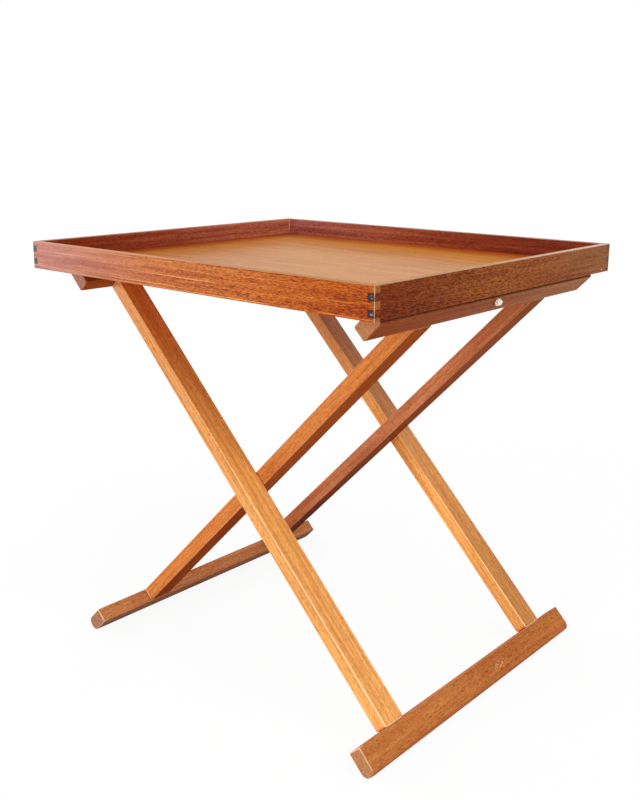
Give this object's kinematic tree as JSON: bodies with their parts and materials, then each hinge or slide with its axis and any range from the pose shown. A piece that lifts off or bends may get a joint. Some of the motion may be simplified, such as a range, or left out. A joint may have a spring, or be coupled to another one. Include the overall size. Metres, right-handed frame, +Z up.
{
  "type": "folding tray table",
  "caption": "Folding tray table: a loose wooden tray with finger-jointed corners lies on a stand of crossed frames that folds flat, with a cord that limits its spread.",
  "frame": {"origin": "on the floor, under the middle of the tray", "axes": "+X along the tray's long side, +Y from front to back along the rails and the pivot, +Z up"},
  "size_m": [0.6, 0.514, 0.5766],
  "materials": {
    "tray_board_wood": "oiled, reddish brown",
    "tray_panel_wood": "satin varnish, golden brown veneer",
    "outer_frame_wood": "oiled, golden brown",
    "inner_frame_wood": "oiled, reddish brown",
    "dowel_wood": "bare beech",
    "pivot_steel": "plain steel",
    "cord_nylon": "white braided nylon"
  },
  "bodies": {
    "outer_frame": {"outer_front_leg": "outer_frame_wood", "outer_back_leg": "outer_frame_wood", "outer_top_rail": "outer_frame_wood", "outer_foot_rail": "outer_frame_wood", "outer_top_dowels": "dowel_wood", "outer_foot_dowels": "dowel_wood", "front_pivot_pin": "pivot_steel", "back_pivot_pin": "pivot_steel", "front_pivot_washer": "pivot_steel", "back_pivot_washer": "pivot_steel", "spread_cord": "cord_nylon"},
    "inner_frame": {"inner_front_leg": "inner_frame_wood", "inner_back_leg": "inner_frame_wood", "inner_top_rail": "inner_frame_wood", "inner_foot_rail": "inner_frame_wood", "inner_top_dowels": "dowel_wood", "inner_foot_dowels": "dowel_wood"},
    "tray": {"tray_front_board": "tray_board_wood", "tray_back_board": "tray_board_wood", "tray_left_board": "tray_board_wood", "tray_right_board": "tray_board_wood", "tray_bottom_panel": "tray_panel_wood"}
  },
  "joints": [
    {"name": "fold", "type": "hinge", "parent": "outer_frame", "child": "inner_frame", "pos_m": [0.019, 0, 0.27402], "axis": [0, -1, 0], "range_deg": [0, 85.5], "deforming": ["spread_cord"]},
    {"name": "tray_lift", "type": "slide", "parent": "outer_frame", "child": "tray", "axis": [0, 0, 1], "range_m": [0, 0.42]}
  ],
  "couplings": [
    {"joint": "tray_lift", "follows": "fold", "m_per_rad": 0.28}
  ]
}
